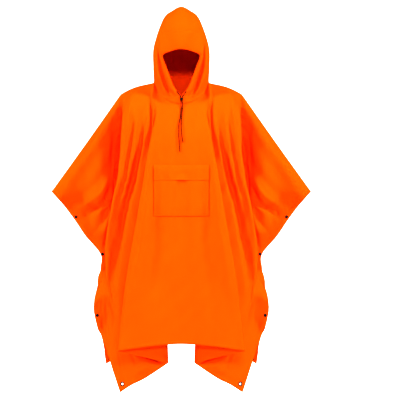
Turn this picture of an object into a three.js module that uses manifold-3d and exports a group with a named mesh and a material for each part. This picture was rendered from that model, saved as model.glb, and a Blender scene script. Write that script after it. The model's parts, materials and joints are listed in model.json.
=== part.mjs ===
// Rain poncho, worn shape with no wearer. Millimetres, +Z up, front at -Y.
// The origin is the middle of the neck opening at the height of the shoulder line.
import * as THREE from 'three';
import { mergeVertices } from 'three/addons/utils/BufferGeometryUtils.js';
import Module from 'manifold-3d';

// Driving dimensions
const CLOTH = 1.5;            // wall of the coated cloth
const SEAM = 0.3;             // gap between sewn pieces
const NECK_GAP = 0.9;         // gap at the curved neck seam
const STACK = 0.9;            // gap under a piece that lies on a curved panel
const FOLD_LOOP = 38;         // how far the cloth bulges where a pleat turns back
const POCKET = { half: 104, top: -341, bottom: -513, flapTop: -322, flapDrop: 58 };
const PLEAT_START = { from: 0.02, to: 0.16 };   // where down the panel a pleat starts to turn back
const SHOULDER_BEND = 0.12;   // how far down the panel the bend at the shoulder point reaches
const NECK_TURN = 0.8;        // how far the cloth leans in behind the neck ends of the pleats
const EDGE_LEAN = 0.25;       // how far the side edges lean in depth
const FLAP = { overhang: 0.5, sewn: 0.05, sewnLift: 0.2 };   // the flap's top edge lies on the panel
const SNAP = { radius: 6, rim: 0.9, dome: 2.4, inset: 13, levels: [0.136, 0.341, 0.727], row: 0.017 };
const SNAP_SHOULDER = { out: 0.7, up: 0.85 };    // where the cap's dome bends, as shares of it
const STUD = { radius: 5, neck: 3.4, stepFrom: -0.4, stepTo: 0.2 };
const SIDES = { snap: 12, grommet: 16 };         // facets round a turned piece
const SNAP_GAP = 4.2;         // room between the two cloths at a snap, for the socket and stud
const SNAP_FLAT = { inner: 55, outer: 100 };     // reach of the flat cloth round a snap
const GROMMET_FLAT = { inner: 56, outer: 78 };   // and round a grommet
const GROMMET = { hole: 4.75, barrel: 5.7, flange: 9, lip: 1.2, inset: 21, toolLength: 30 };
const PANEL_LENGTH = 1000;    // nominal length that the grommets' inset is a share of
const CORD = { radius: 1.3, sides: 8, steps: 36 };
const LOCK = { x: 1.1, y: -98.6, z: -69, half: 6.6, depth: 4.6, height: 9, pitch: 2.4, bevel: 1 };
const HEM_THICK = 2.2;        // drawcord tunnel, with the cord in it
const HOOD_SEAM = 0.004;      // seam gap in the hood's own units

const ORANGE = 0xf26a10;
const BLACK = 0x141414;
const BRASS = 0x6e5a3c;
const cloth = new THREE.MeshStandardMaterial({ color: ORANGE, roughness: 0.55, metalness: 0 });
const plastic = new THREE.MeshStandardMaterial({ color: BLACK, roughness: 0.4, metalness: 0 });
const cordage = new THREE.MeshStandardMaterial({ color: BLACK, roughness: 0.85, metalness: 0 });
const metal = new THREE.MeshStandardMaterial({ color: BRASS, roughness: 0.35, metalness: 0.9 });

// Fold lines of one half of the front panel, from the middle to the side edge.
// Columns: down = share of the panel's length below the shoulder line,
// out = distance from the middle, y = depth (front is negative), z = height.
const FRONT_LINES = [
  { name: 'middle', rows: [
    { down: 0, out: 0, y: -95, z: -86 }, { down: 0.056, out: 0, y: -118, z: -139 },
    { down: 0.122, out: 0, y: -136, z: -197 }, { down: 0.32, out: 0, y: -162, z: -374 },
    { down: 0.526, out: 0, y: -172, z: -557 }, { down: 0.71, out: 0, y: -178, z: -723 },
    { down: 1, out: 0, y: -190, z: -985 }] },
  { name: 'pleat ridge', turn: true, rows: [
    { down: 0, out: 85, y: -46, z: -42 }, { down: 0.056, out: 92, y: -82, z: -90 },
    { down: 0.122, out: 104, y: -114, z: -158 }, { down: 0.32, out: 140, y: -166, z: -363 },
    { down: 0.526, out: 174, y: -186, z: -556 }, { down: 0.71, out: 207, y: -200, z: -744 },
    { down: 0.855, out: 224, y: -208, z: -879 }, { down: 1, out: 237, y: -215, z: -1007 }] },
  { name: 'pleat tuck', turn: true, neck: true, rows: [
    { down: 0, out: 107, y: 0, z: 4 }, { down: 0.056, out: 113, y: -50, z: -41 },
    { down: 0.122, out: 110, y: -95, z: -107 }, { down: 0.32, out: 94, y: -132, z: -347 },
    { down: 0.526, out: 79, y: -142, z: -565 }, { down: 0.71, out: 64, y: -148, z: -771 },
    { down: 0.855, out: 54, y: -150, z: -920 }, { down: 1, out: 48, y: -150, z: -1062 }] },
  { name: 'chest crest', rows: [
    { down: 0, out: 187, y: 0, z: -16 }, { down: 0.056, out: 196, y: -52, z: -49 },
    { down: 0.122, out: 213, y: -98, z: -103 }, { down: 0.32, out: 232, y: -118, z: -313 },
    { down: 0.526, out: 274, y: -105, z: -543 }, { down: 0.62, out: 290, y: -94, z: -665 },
    { down: 0.71, out: 276, y: -92, z: -787 }, { down: 0.855, out: 214, y: -106, z: -963 },
    { down: 1, out: 147, y: -125, z: -1130 }] },
  { name: 'armpit valley', bend: true, rows: [
    { down: 0, out: 236, y: 0, z: -41 }, { down: 0.056, out: 237, y: -38, z: -78 },
    { down: 0.122, out: 236, y: -55, z: -137 }, { down: 0.22, out: 228, y: -38, z: -232 },
    { down: 0.42, out: 222, y: -10, z: -472 }, { down: 0.526, out: 247, y: -16, z: -618 },
    { down: 0.62, out: 274, y: -46, z: -738 }, { down: 0.71, out: 278, y: -66, z: -846 },
    { down: 0.855, out: 240, y: -85, z: -1012 }, { down: 1, out: 191, y: -112, z: -1154 }] },
  { name: 'sleeve drape', rows: [
    { down: 0, out: 372, y: 0, z: -234 }, { down: 0.056, out: 357, y: -38, z: -259 },
    { down: 0.122, out: 330, y: -62, z: -318 }, { down: 0.22, out: 303, y: -62, z: -414 },
    { down: 0.42, out: 252, y: -30, z: -602 }, { down: 0.526, out: 270, y: -26, z: -700 },
    { down: 0.62, out: 296, y: -36, z: -784 }, { down: 0.71, out: 302, y: -50, z: -866 },
    { down: 0.855, out: 262, y: -72, z: -1026 }, { down: 1, out: 212, y: -106, z: -1168 }] },
  { name: 'side edge', rows: [
    { down: 0, out: 505, y: 0, z: -419 }, { down: 0.056, out: 476, y: -26, z: -449 },
    { down: 0.122, out: 424, y: -3, z: -517 }, { down: 0.22, out: 372, y: 0, z: -593 },
    { down: 0.32, out: 315, y: 0, z: -663 }, { down: 0.42, out: 315, y: 12, z: -718 },
    { down: 0.526, out: 324, y: -6, z: -776 }, { down: 0.62, out: 336, y: 2, z: -834 },
    { down: 0.71, out: 337, y: -25, z: -892 }, { down: 0.855, out: 284, y: -60, z: -1039 },
    { down: 1, out: 233, y: -100, z: -1183 }] },
];

// Fold lines of one half of the back panel, with the same columns
const BACK_LINES = [
  { name: 'middle', rows: [
    { down: 0, out: 0, y: 78, z: 35 }, { down: 0.122, out: 0, y: 122, z: -90 },
    { down: 0.32, out: 0, y: 140, z: -285 }, { down: 0.526, out: 0, y: 150, z: -490 },
    { down: 0.71, out: 0, y: 162, z: -690 }, { down: 1, out: 0, y: 190, z: -1000 }] },
  { name: 'pleat ridge', turn: true, rows: [
    { down: 0, out: 60, y: 62, z: 30 }, { down: 0.122, out: 92, y: 112, z: -95 },
    { down: 0.32, out: 120, y: 144, z: -290 }, { down: 0.526, out: 150, y: 160, z: -500 },
    { down: 0.71, out: 180, y: 176, z: -705 }, { down: 1, out: 215, y: 202, z: -1015 }] },
  { name: 'pleat tuck', turn: true, neck: true, rows: [
    { down: 0, out: 107, y: 0, z: 4 }, { down: 0.056, out: 110, y: 45, z: -30 },
    { down: 0.122, out: 106, y: 82, z: -95 }, { down: 0.32, out: 100, y: 112, z: -300 },
    { down: 0.526, out: 96, y: 124, z: -510 }, { down: 0.71, out: 94, y: 132, z: -725 },
    { down: 1, out: 92, y: 148, z: -1045 }] },
  { name: 'shoulder crest', rows: [
    { down: 0, out: 187, y: 0, z: -16 }, { down: 0.056, out: 196, y: 48, z: -45 },
    { down: 0.122, out: 210, y: 78, z: -105 }, { down: 0.32, out: 228, y: 92, z: -330 },
    { down: 0.526, out: 256, y: 88, z: -560 }, { down: 0.71, out: 254, y: 96, z: -790 },
    { down: 1, out: 222, y: 166, z: -1080 }] },
  { name: 'armpit valley', bend: true, rows: [
    { down: 0, out: 236, y: 0, z: -41 }, { down: 0.056, out: 238, y: 34, z: -80 },
    { down: 0.122, out: 238, y: 46, z: -140 }, { down: 0.32, out: 228, y: 26, z: -350 },
    { down: 0.526, out: 249, y: 24, z: -620 }, { down: 0.62, out: 274, y: 34, z: -738 },
    { down: 0.71, out: 278, y: 30, z: -850 }, { down: 1, out: 250, y: 106, z: -1100 }] },
  { name: 'sleeve drape', rows: [
    { down: 0, out: 372, y: 0, z: -234 }, { down: 0.056, out: 357, y: 34, z: -259 },
    { down: 0.122, out: 332, y: 52, z: -320 }, { down: 0.22, out: 305, y: 46, z: -414 },
    { down: 0.42, out: 252, y: 34, z: -602 }, { down: 0.526, out: 270, y: 34, z: -700 },
    { down: 0.62, out: 296, y: 30, z: -784 }, { down: 0.71, out: 302, y: -2, z: -866 },
    { down: 0.855, out: 302, y: 72, z: -1010 }, { down: 1, out: 284, y: 162, z: -1106 }] },
  { name: 'side edge', rows: [
    { down: 0, out: 505, y: 0, z: -419 }, { down: 0.056, out: 476, y: 28, z: -449 },
    { down: 0.122, out: 424, y: 3, z: -517 }, { down: 0.22, out: 372, y: 6, z: -593 },
    { down: 0.32, out: 315, y: 6, z: -663 }, { down: 0.42, out: 315, y: 20, z: -718 },
    { down: 0.526, out: 324, y: 4, z: -776 }, { down: 0.62, out: 336, y: 11, z: -834 },
    { down: 0.71, out: 337, y: -19, z: -892 }, { down: 0.855, out: 311, y: 55, z: -1010 },
    { down: 1, out: 304, y: 150, z: -1119 }] },
];

// Arches of one half of the hood, from the face opening to the nape. Each runs from the
// neck seam over the cheek to the middle of the top. Points are [out, y, z].
const HOOD_ARCHES = [
  { at: 0, chin: [0.6, -90, -57], cheek: [29, -91, -18], temple: [57, -94, 57],
    brow: [69, -99, 96], crown: [40, -127, 108], top: [0, -140, 114] },
  { at: 0.08, chin: [14, -91, -60], cheek: [40, -90, -24], temple: [68.5, -93, 54],
    brow: [79, -97, 102], crown: [42, -129, 121], top: [0, -141, 127] },
  { at: 0.2, chin: [40, -76, -58], cheek: [56, -62, -18], temple: [78, -66, 60],
    brow: [84, -90, 135], crown: [45, -125, 155], top: [0, -137, 160] },
  { at: 0.3, chin: [62, -70, -40], cheek: [76, -72, 5], temple: [92, -75, 80],
    brow: [85, -92, 172], crown: [46, -118, 187], top: [0, -127, 192] },
  { at: 0.5, chin: [98, -36, 5], cheek: [104, -38, 50], temple: [104, -38, 140],
    brow: [69, -28, 247], crown: [34, -24, 279], top: [0, -20, 295] },
  { at: 0.7, chin: [106, 12, 34], cheek: [105, 22, 78], temple: [99, 32, 150],
    brow: [58, 48, 241], crown: [32, 55, 262], top: [0, 58, 271] },
  { at: 0.85, chin: [92, 55, 48], cheek: [88, 76, 85], temple: [78, 92, 135],
    brow: [48, 106, 178], crown: [26, 113, 186], top: [0, 118, 189] },
];
// The last arch lies along the neck seam. Each column ends at a share of the way round it.
const NAPE = { neck: 0.86, chin: 0.873, cheek: 0.888, temple: 0.904, brow: 0.925, crown: 0.963, top: 1 };
const ARCH_COLUMNS = Object.keys(NAPE);
const CROWN_SEAM = 4;         // column where side and crown meet
const VISOR_ARCH = 6;         // which arch the visor and crown meet on
const HEM_ARCH = 0.08;        // arch at the outer edge of the drawcord tunnel

// Left drawcord and right drawcord, from the eyelet through the lock to the bare end: [x, y, z]
const LEFT_CORD = [
  [-17.5, -95.9, -39.5], [-10.5, -97.6, -48.5], [-3.6, -98.6, -58], [-1.3, -98.6, -63.5],
  [-1.3, -98.6, -74.5], [-1.1, -100, -82], [-0.9, -102.6, -92], [-1.6, -113.5, -118],
  [-3.8, -124, -143], [-8, -129.5, -160], [-9.5, -141, -196], [-9, -146.5, -223],
  [-7, -151, -249], [-5.5, -154.5, -272]];
const RIGHT_CORD = [
  [18.5, -95.9, -39.5], [12.5, -97.6, -48.5], [6, -98.6, -58], [3.5, -98.6, -63.5],
  [3.5, -98.6, -74.5], [3.6, -100, -82], [4.1, -102.6, -92], [2.8, -116, -124],
  [-0.2, -129, -159], [0.9, -138, -186], [1.6, -142.5, -204], [5.3, -149, -236]];

const up = new THREE.Vector3(0, 0, 1);
const smoothstep = THREE.MathUtils.smoothstep;

// Cubic curve through values[] at knots[], with given or natural end slopes
function cubicThrough(knots, values, startSlope) {
  const slopes = values.map((value, i) => {
    if (i === 0) {
      return (values[1] - value) / (knots[1] - knots[0]);
    }
    if (i === values.length - 1) {
      return (value - values[i - 1]) / (knots[i] - knots[i - 1]);
    }
    const before = knots[i] - knots[i - 1];
    const after = knots[i + 1] - knots[i];
    const slopeBefore = (value - values[i - 1]) / before;
    const slopeAfter = (values[i + 1] - value) / after;
    return (slopeBefore * after + slopeAfter * before) / (before + after);
  });
  if (startSlope !== undefined) {
    slopes[0] = startSlope;
  }
  return (t) => {
    let i = 0;
    while (i < knots.length - 2 && t > knots[i + 1]) {
      i += 1;
    }
    const h = knots[i + 1] - knots[i];
    return hermite(values[i], values[i + 1], slopes[i] * h, slopes[i + 1] * h, (t - knots[i]) / h);
  };
}

function hermite(a, b, slopeA, slopeB, t) {
  const t2 = t * t;
  const t3 = t2 * t;
  return a * (2 * t3 - 3 * t2 + 1) + slopeA * (t3 - 2 * t2 + t)
    + b * (3 * t2 - 2 * t3) + slopeB * (t3 - t2);
}

// A fold line as a function of the share of the panel's length.
// Lines that start on the shoulder leave it level, so front and back join smoothly.
function foldLine(line, facing) {
  const knots = line.rows.map((row) => row.down);
  const onShoulder = line.rows[0].y === 0;
  const rows = line.rows.map((row, i) => (
    onShoulder && i === 0 ? { ...row, y: facing * SEAM / 2 } : row));
  const chord = Math.hypot(
    rows[1].out - rows[0].out, rows[1].y - rows[0].y, rows[1].z - rows[0].z) / knots[1];
  const start = onShoulder ? { out: 0, y: facing * chord, z: 0 } : {};
  const out = cubicThrough(knots, rows.map((row) => row.out), start.out);
  const y = cubicThrough(knots, rows.map((row) => row.y), start.y);
  const z = cubicThrough(knots, rows.map((row) => row.z), start.z);
  return (down) => new THREE.Vector3(out(down), y(down), z(down));
}

// A panel's outer surface. across runs from -last to last (negative is the left half),
// down from 0 at the neckline and shoulder to 1 at the hem. facing is -1 at the front, 1 at the back.
function panelSurface(lines, facing) {
  const last = lines.length - 1;
  const folds = lines.map((line) => foldLine(line, facing));
  const flats = [];
  function bare(across, down) {
    const side = across < 0 ? -1 : 1;
    const place = Math.min(Math.abs(across), last - 1e-9);
    const i = Math.floor(place);
    const points = folds.map((fold) => fold(down));
    const a = points[i];
    const b = points[i + 1];
    const leave = tangent(points, i, down, b.distanceTo(a), 1);
    const arrive = tangent(points, i + 1, down, b.distanceTo(a), -1);
    const t = place - i;
    return new THREE.Vector3(
      side * hermite(a.x, b.x, leave.x, arrive.x, t),
      hermite(a.y, b.y, leave.y, arrive.y, t),
      hermite(a.z, b.z, leave.z, arrive.z, t));
  }
  function tangent(points, i, down, length, direction) {
    if (i === 0) {
      return new THREE.Vector3(length, 0, 0);
    }
    if (i === last) {
      const end = points[last].clone().sub(points[last - 1]);
      end.y *= EDGE_LEAN;
      return end;
    }
    const before = points[i].distanceTo(points[i - 1]);
    const after = points[i + 1].distanceTo(points[i]);
    const smooth = points[i].clone().sub(points[i - 1]).multiplyScalar(after / before)
      .add(points[i + 1].clone().sub(points[i]).multiplyScalar(before / after))
      .multiplyScalar(length / (before + after));
    const chord = points[i + 1].clone().sub(points[i]);
    if (lines[i].bend && direction > 0) {
      smooth.lerp(chord, 1 - smoothstep(down, 0, SHOULDER_BEND));
    }
    if (!lines[i].turn) {
      return smooth;
    }
    const turned = smoothstep(down, PLEAT_START.from, PLEAT_START.to);
    if (lines[i].neck) {
      smooth.copy(direction < 0 ? new THREE.Vector3(0, -facing * length * NECK_TURN, 0) : chord);
    }
    const loop = new THREE.Vector3(0, -facing * FOLD_LOOP, 0);
    return smooth.lerp(loop, turned);
  }
  function point(across, down) {
    const p = bare(across, down);
    for (const flat of flats) {
      const away = p.distanceTo(flat.centre);
      const share = 1 - smoothstep(away, flat.inner, flat.outer);
      p.addScaledVector(flat.normal, -share * flat.normal.dot(p.clone().sub(flat.centre)));
    }
    return p;
  }
  return { point, last, facing, flats, normal: (u, v) => normalOf(point, u, v, facing) };
}

function normalOf(point, u, v, sign) {
  const e = 1e-3;
  const du = point(u + e, v).sub(point(u - e, v));
  const dv = point(u, v + e).sub(point(u, Math.max(v - e, 0)));
  return du.cross(dv).normalize().multiplyScalar(sign);
}

// The place on a surface over a given x and z
function placeAt(surface, x, z, guess) {
  let [u, v] = guess;
  const e = 1e-3;
  for (let turn = 0; turn < 12; turn += 1) {
    const p = surface.point(u, v);
    const pu = surface.point(u + e, v).sub(p).divideScalar(e);
    const pv = surface.point(u, v + e).sub(p).divideScalar(e);
    const det = pu.x * pv.z - pu.z * pv.x;
    u += ((x - p.x) * pv.z - (z - p.z) * pv.x) / det;
    v += ((z - p.z) * pu.x - (x - p.x) * pu.z) / det;
  }
  return [u, v];
}

// A closed wall from a grid of outer points and outward normals
function wall(outer, thickness) {
  const columns = outer.length;
  const rows = outer[0].length;
  const positions = [];
  for (const depth of [0, 1]) {
    for (const column of outer) {
      for (const { point, normal, thick } of column) {
        const p = point.clone().addScaledVector(normal, -depth * (thick ?? thickness));
        positions.push(p.x, p.y, p.z);
      }
    }
  }
  const inner = columns * rows;
  const index = [];
  const at = (i, j) => i * rows + j;
  const quad = (a, b, c, d) => index.push(a, b, c, a, c, d);
  for (let i = 0; i < columns - 1; i += 1) {
    for (let j = 0; j < rows - 1; j += 1) {
      const [a, b, c, d] = [at(i, j), at(i + 1, j), at(i + 1, j + 1), at(i, j + 1)];
      quad(a, b, c, d);
      quad(inner + a, inner + d, inner + c, inner + b);
    }
    quad(at(i + 1, 0), at(i, 0), inner + at(i, 0), inner + at(i + 1, 0));
    const end = rows - 1;
    quad(at(i, end), at(i + 1, end), inner + at(i + 1, end), inner + at(i, end));
  }
  for (let j = 0; j < rows - 1; j += 1) {
    quad(at(0, j), at(0, j + 1), inner + at(0, j + 1), inner + at(0, j));
    const end = columns - 1;
    quad(at(end, j + 1), at(end, j), inner + at(end, j), inner + at(end, j + 1));
  }
  return facingOut(positions, index);
}

function facingOut(positions, index) {
  let volume = 0;
  const corner = (i) => new THREE.Vector3().fromArray(positions, 3 * i);
  for (let i = 0; i < index.length; i += 3) {
    volume += corner(index[i]).dot(corner(index[i + 1]).cross(corner(index[i + 2])));
  }
  if (volume < 0) {
    index.reverse();
  }
  const geometry = new THREE.BufferGeometry();
  geometry.setAttribute('position', new THREE.Float32BufferAttribute(positions, 3));
  geometry.setIndex(index);
  return geometry;
}

// Places across a panel half, closer together where a pleat turns and at the side edge
function spreadAcross(cells) {
  const half = [0];
  cells.forEach((count, i) => {
    for (let k = 1; k <= count; k += 1) {
      const t = k / count;
      const atPleat = (1 - Math.cos(Math.PI * t)) / 2;
      const atEdge = 1 - (1 - t) ** 1.6;
      half.push(i + (i < 3 ? atPleat : i < 5 ? t : atEdge));
    }
  });
  return [...half.slice(1).reverse().map((u) => -u), ...half];
}

// Places down a panel, closer together at the shoulder and on both sides of each snap
function spreadDown(count) {
  const rows = Array.from({ length: count + 1 }, (_, k) => {
    const t = k / count;
    return 0.6 * t + 0.4 * t * t;
  });
  for (const level of SNAP.levels) {
    const below = rows.findIndex((row) => row > level);
    rows[below - 1] = level - SNAP.row;
    rows[below] = level + SNAP.row;
  }
  return rows;
}

function gridOn(surface, us, vs) {
  return us.map((u) => vs.map((v) => ({
    point: surface.point(u, v), normal: surface.normal(u, v) })));
}

// Boolean cut
const wasm = await Module();
wasm.setup();

function toSolid(geometry) {
  const bare = geometry.clone();
  bare.deleteAttribute('normal');
  bare.deleteAttribute('uv');
  const merged = mergeVertices(bare, 1e-4);
  return new wasm.Manifold(new wasm.Mesh({
    numProp: 3,
    vertProperties: new Float32Array(merged.attributes.position.array),
    triVerts: new Uint32Array(merged.index.array) }));
}

function cutAway(geometry, tools) {
  let solid = toSolid(geometry);
  for (const tool of tools) {
    solid = solid.subtract(toSolid(tool));
  }
  const mesh = solid.getMesh();
  const result = new THREE.BufferGeometry();
  result.setAttribute('position', new THREE.BufferAttribute(mesh.vertProperties.slice(), 3));
  result.setIndex(new THREE.BufferAttribute(mesh.triVerts.slice(), 1));
  return result;
}

// Turns a solid made along +Z so that it points along a direction, and moves it to a place
function stand(geometry, place, direction) {
  const turn = new THREE.Quaternion().setFromUnitVectors(up, direction.clone().normalize());
  return geometry.applyQuaternion(turn).translate(place.x, place.y, place.z);
}

const lathe = (profile, sides) => new THREE.LatheGeometry(
  profile.map(([r, z]) => new THREE.Vector2(r, z)), sides).rotateX(Math.PI / 2);

const group = new THREE.Group();
function add(name, geometry, material) {
  const mesh = new THREE.Mesh(geometry, material);
  mesh.name = name;
  group.add(mesh);
}

// Front and back panels, flattened where snaps join them and where grommets sit
const front = panelSurface(FRONT_LINES, -1);
const back = panelSurface(BACK_LINES, 1);
const sides = [{ name: 'left', sign: -1 }, { name: 'right', sign: 1 }];

const edgeWidth = (surface, v) => surface.point(surface.last, v)
  .distanceTo(surface.point(surface.last - 1, v));
const snaps = [];
const grommets = [];
for (const side of sides) {
  SNAP.levels.forEach((level, i) => {
    const u = side.sign * (front.last - SNAP.inset / edgeWidth(front, level));
    const frontPoint = front.point(u, level);
    const backPoint = back.point(
      side.sign * (back.last - SNAP.inset / edgeWidth(back, level)), level);
    const normal = new THREE.Vector3(0, 1, 0);
    const middle = frontPoint.clone().lerp(backPoint, 0.5);
    snaps.push({ name: `${side.name}_${i + 1}`, middle, normal });
  });
}
for (const snap of snaps) {
  for (const panel of [front, back]) {
    const reach = panel.facing * (SNAP_GAP / 2 + CLOTH);
    panel.flats.push({
      centre: snap.middle.clone().addScaledVector(snap.normal, reach),
      normal: snap.normal, ...SNAP_FLAT });
  }
}
for (const [panel, label] of [[front, 'front'], [back, 'back']]) {
  for (const side of sides) {
    const v = 1 - GROMMET.inset / PANEL_LENGTH;
    const u = side.sign * (panel.last - GROMMET.inset / edgeWidth(panel, v));
    const centre = panel.point(u, v);
    const normal = panel.normal(u, v);
    panel.flats.push({ centre, normal, ...GROMMET_FLAT });
    grommets.push({ name: `${label}_${side.name}`, panel, centre, normal });
  }
}

const holeTools = (panel) => grommets.filter((g) => g.panel === panel).map((g) => {
  const radius = GROMMET.barrel + SEAM;
  const tool = new THREE.CylinderGeometry(radius, radius, GROMMET.toolLength, SIDES.grommet);
  return stand(tool.rotateX(Math.PI / 2), g.centre, g.normal);
});

const FRONT_ACROSS = spreadAcross([5, 5, 5, 4, 3, 5]);
const BACK_ACROSS = spreadAcross([3, 4, 4, 3, 3, 4]);
add('front_panel', cutAway(
  wall(gridOn(front, FRONT_ACROSS, spreadDown(21)), CLOTH), holeTools(front)), cloth);
for (const side of sides) {
  const half = gridOn(back, BACK_ACROSS.filter((u) => u * side.sign >= 0), spreadDown(18));
  const middle = side.sign < 0 ? half.at(-1) : half[0];
  for (const { point } of middle) {
    point.setX(side.sign * SEAM / 2);
  }
  add(`back_panel_${side.name}`, cutAway(wall(half, CLOTH), holeTools(back)), cloth);
}

// Hood
const neckSeam = (turn) => {
  // turn runs from 0 at the front middle to 1 at the back middle
  const half = turn < 0.5 ? front.point(4 * turn, 0) : back.point(4 * (1 - turn), 0);
  return half.setZ(half.z + NECK_GAP);
};
function hoodColumn(column) {
  const knots = [...HOOD_ARCHES.map((arch) => arch.at), 1];
  if (column === 'neck') {
    return (at) => neckSeam(NAPE.neck * at);
  }
  const places = [...HOOD_ARCHES.map((arch) => arch[column]), neckSeam(NAPE[column]).toArray()];
  const axes = [0, 1, 2].map((axis) => cubicThrough(knots, places.map((place) => place[axis])));
  return (at) => new THREE.Vector3(axes[0](at), axes[1](at), axes[2](at));
}
const hoodColumns = ARCH_COLUMNS.map(hoodColumn);
function hoodPoint(at, along, sign) {
  const points = hoodColumns.map((column) => column(Math.min(Math.max(at, 0), 1)));
  const knots = points.map((_, i) => i);
  const top = points.length - 1;
  const axes = ['x', 'y', 'z'].map((axis) => {
    const values = points.map((p) => p[axis]);
    const mirrored = axis === 'x' ? -values[top - 1] : values[top - 1];
    return cubicThrough([...knots, top + 1], [...values, mirrored]);
  });
  const p = new THREE.Vector3(...axes.map((axis) => axis(along)));
  if (along < CROWN_SEAM) {
    p.x = Math.max(p.x, SEAM);
  }
  p.x *= sign;
  return p;
}
function hoodGrid(ats, alongs, sign, lift, thick) {
  const point = (at, along) => hoodPoint(at, along, sign);
  return ats.map((at) => alongs.map((along) => {
    const e = 1e-3;
    const da = point(Math.min(at + e, 1), along).sub(point(Math.max(at - e, 0), along));
    const ds = point(at, along + e).sub(point(at, Math.max(along - e, 0)));
    const normal = da.cross(ds).normalize().multiplyScalar(-sign);
    if (at === 0 && along <= 1) {
      normal.setX(0).normalize();
    }
    const p = point(at, along).addScaledVector(normal, lift);
    return { point: p, normal, thick };
  }));
}
const steps = (from, to, count) => Array.from(
  { length: count + 1 }, (_, k) => from + (to - from) * k / count);
// The hood's arches stand on the same points of the neck seam as the panels' columns
const sideArches = [
  ...FRONT_ACROSS.filter((u) => u >= 0 && u <= 2).map((u) => u / 4 / NAPE.neck), HEM_ARCH,
  ...BACK_ACROSS.filter((u) => u < 2 && u > 4 * (1 - NAPE.neck) + 0.01).reverse()
    .map((u) => (1 - u / 4) / NAPE.neck),
  1].sort((a, b) => a - b);
const sideAlongs = steps(0, CROWN_SEAM - HOOD_SEAM, 12);
const visorSeam = sideArches[VISOR_ARCH];
for (const side of sides) {
  add(`hood_side_${side.name}`, wall(hoodGrid(sideArches, sideAlongs, side.sign, 0), CLOTH), cloth);
}
function acrossTop(ats, count) {
  const alongs = steps(CROWN_SEAM + HOOD_SEAM, 6, count);
  const left = hoodGrid(ats, alongs, -1, 0);
  const right = hoodGrid(ats, alongs, 1, 0);
  return left.map((row, i) => [...row, ...right[i].slice(0, -1).reverse()]);
}
add('hood_crown', wall(acrossTop(
  [visorSeam + HOOD_SEAM / 2, ...sideArches.slice(VISOR_ARCH + 1)], 4), CLOTH), cloth);
add('hood_visor', wall(acrossTop(
  [...sideArches.slice(0, VISOR_ARCH), visorSeam - HOOD_SEAM / 2], 4), CLOTH), cloth);
for (const side of sides) {
  const arches = sideArches.filter((at) => at <= HEM_ARCH);
  const alongs = sideAlongs.slice(4, -1);
  const grid = hoodGrid(arches, alongs, side.sign, STACK + HEM_THICK, HEM_THICK);
  add(`face_hem_${side.name}`, wall(grid, HEM_THICK), cloth);
}

// Chest pocket and its flap, made from the front panel's points, moved out
function patch(x0, x1, z0, z1, columns, rows, liftAt, thick) {
  let guess = [0, 0.3];
  return steps(x0, x1, columns).map((x) => steps(z0, z1, rows).map((z, j) => {
    guess = placeAt(front, x, z, guess);
    const normal = front.normal(...guess);
    const point = front.point(...guess).addScaledVector(normal, liftAt(j / rows) + thick);
    return { point, normal };
  }));
}
add('chest_pocket', wall(patch(
  -POCKET.half, POCKET.half, POCKET.top, POCKET.bottom, 8, 7, () => STACK, CLOTH), CLOTH), cloth);
const flapLift = (t) => STACK + (t < FLAP.sewn ? FLAP.sewnLift : CLOTH + STACK);
const flapHalf = POCKET.half + FLAP.overhang;
add('pocket_flap', wall(patch(-flapHalf, flapHalf, POCKET.flapTop,
  POCKET.flapTop - POCKET.flapDrop, 8, 4, flapLift, CLOTH), CLOTH), cloth);

// Drawcords and cord lock
function cordSolid(points) {
  const path = new THREE.CatmullRomCurve3(points.map((p) => new THREE.Vector3(...p)));
  const section = new THREE.Shape();
  section.setFromPoints(steps(0, 1, CORD.sides).slice(0, -1).map((t) => new THREE.Vector2(
    CORD.radius * Math.cos(2 * Math.PI * t), CORD.radius * Math.sin(2 * Math.PI * t))));
  return new THREE.ExtrudeGeometry(
    section, { steps: CORD.steps, extrudePath: path, bevelEnabled: false });
}
add('drawcord_left', cordSolid(LEFT_CORD), cordage);
add('drawcord_right', cordSolid(RIGHT_CORD), cordage);

function lockSolid() {
  const body = new THREE.Shape();
  body.absellipse(0, 0, LOCK.half, LOCK.depth, 0, 2 * Math.PI);
  for (const sign of [-1, 1]) {
    const hole = new THREE.Path();
    hole.absarc(sign * LOCK.pitch, 0, CORD.radius + SEAM, 0, 2 * Math.PI);
    body.holes.push(hole);
  }
  return new THREE.ExtrudeGeometry(body, {
    depth: LOCK.height - 2 * LOCK.bevel, curveSegments: 10, steps: 1, bevelEnabled: true,
    bevelSegments: 1, bevelSize: -LOCK.bevel, bevelThickness: LOCK.bevel,
  }).translate(LOCK.x, LOCK.y, LOCK.z - LOCK.height / 2 + LOCK.bevel);
}
add('cord_lock', lockSolid(), plastic);

// Snap fasteners: a cap on each side and the socket with its stud between the cloths
const capProfile = [[0, 0], [SNAP.radius, 0], [SNAP.radius, SNAP.rim],
  [SNAP.radius * SNAP_SHOULDER.out, SNAP.dome * SNAP_SHOULDER.up], [0, SNAP.dome]];
for (const snap of snaps) {
  for (const [label, facing] of [['front', -1], ['back', 1]]) {
    const direction = snap.normal.clone().multiplyScalar(facing);
    const seat = snap.middle.clone().addScaledVector(direction, SNAP_GAP / 2 + CLOTH + SEAM);
    add(`snap_${snap.name}_${label}`, stand(lathe(capProfile, SIDES.snap), seat, direction), plastic);
  }
  const reach = SNAP_GAP / 2 - SEAM;
  const spool = [[0, -reach], [STUD.radius, -reach], [STUD.radius, STUD.stepFrom],
    [STUD.neck, STUD.stepTo], [STUD.neck, reach], [0, reach]];
  add(`snap_${snap.name}_stud`, stand(lathe(spool, SIDES.snap), snap.middle, snap.normal), plastic);
}

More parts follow.
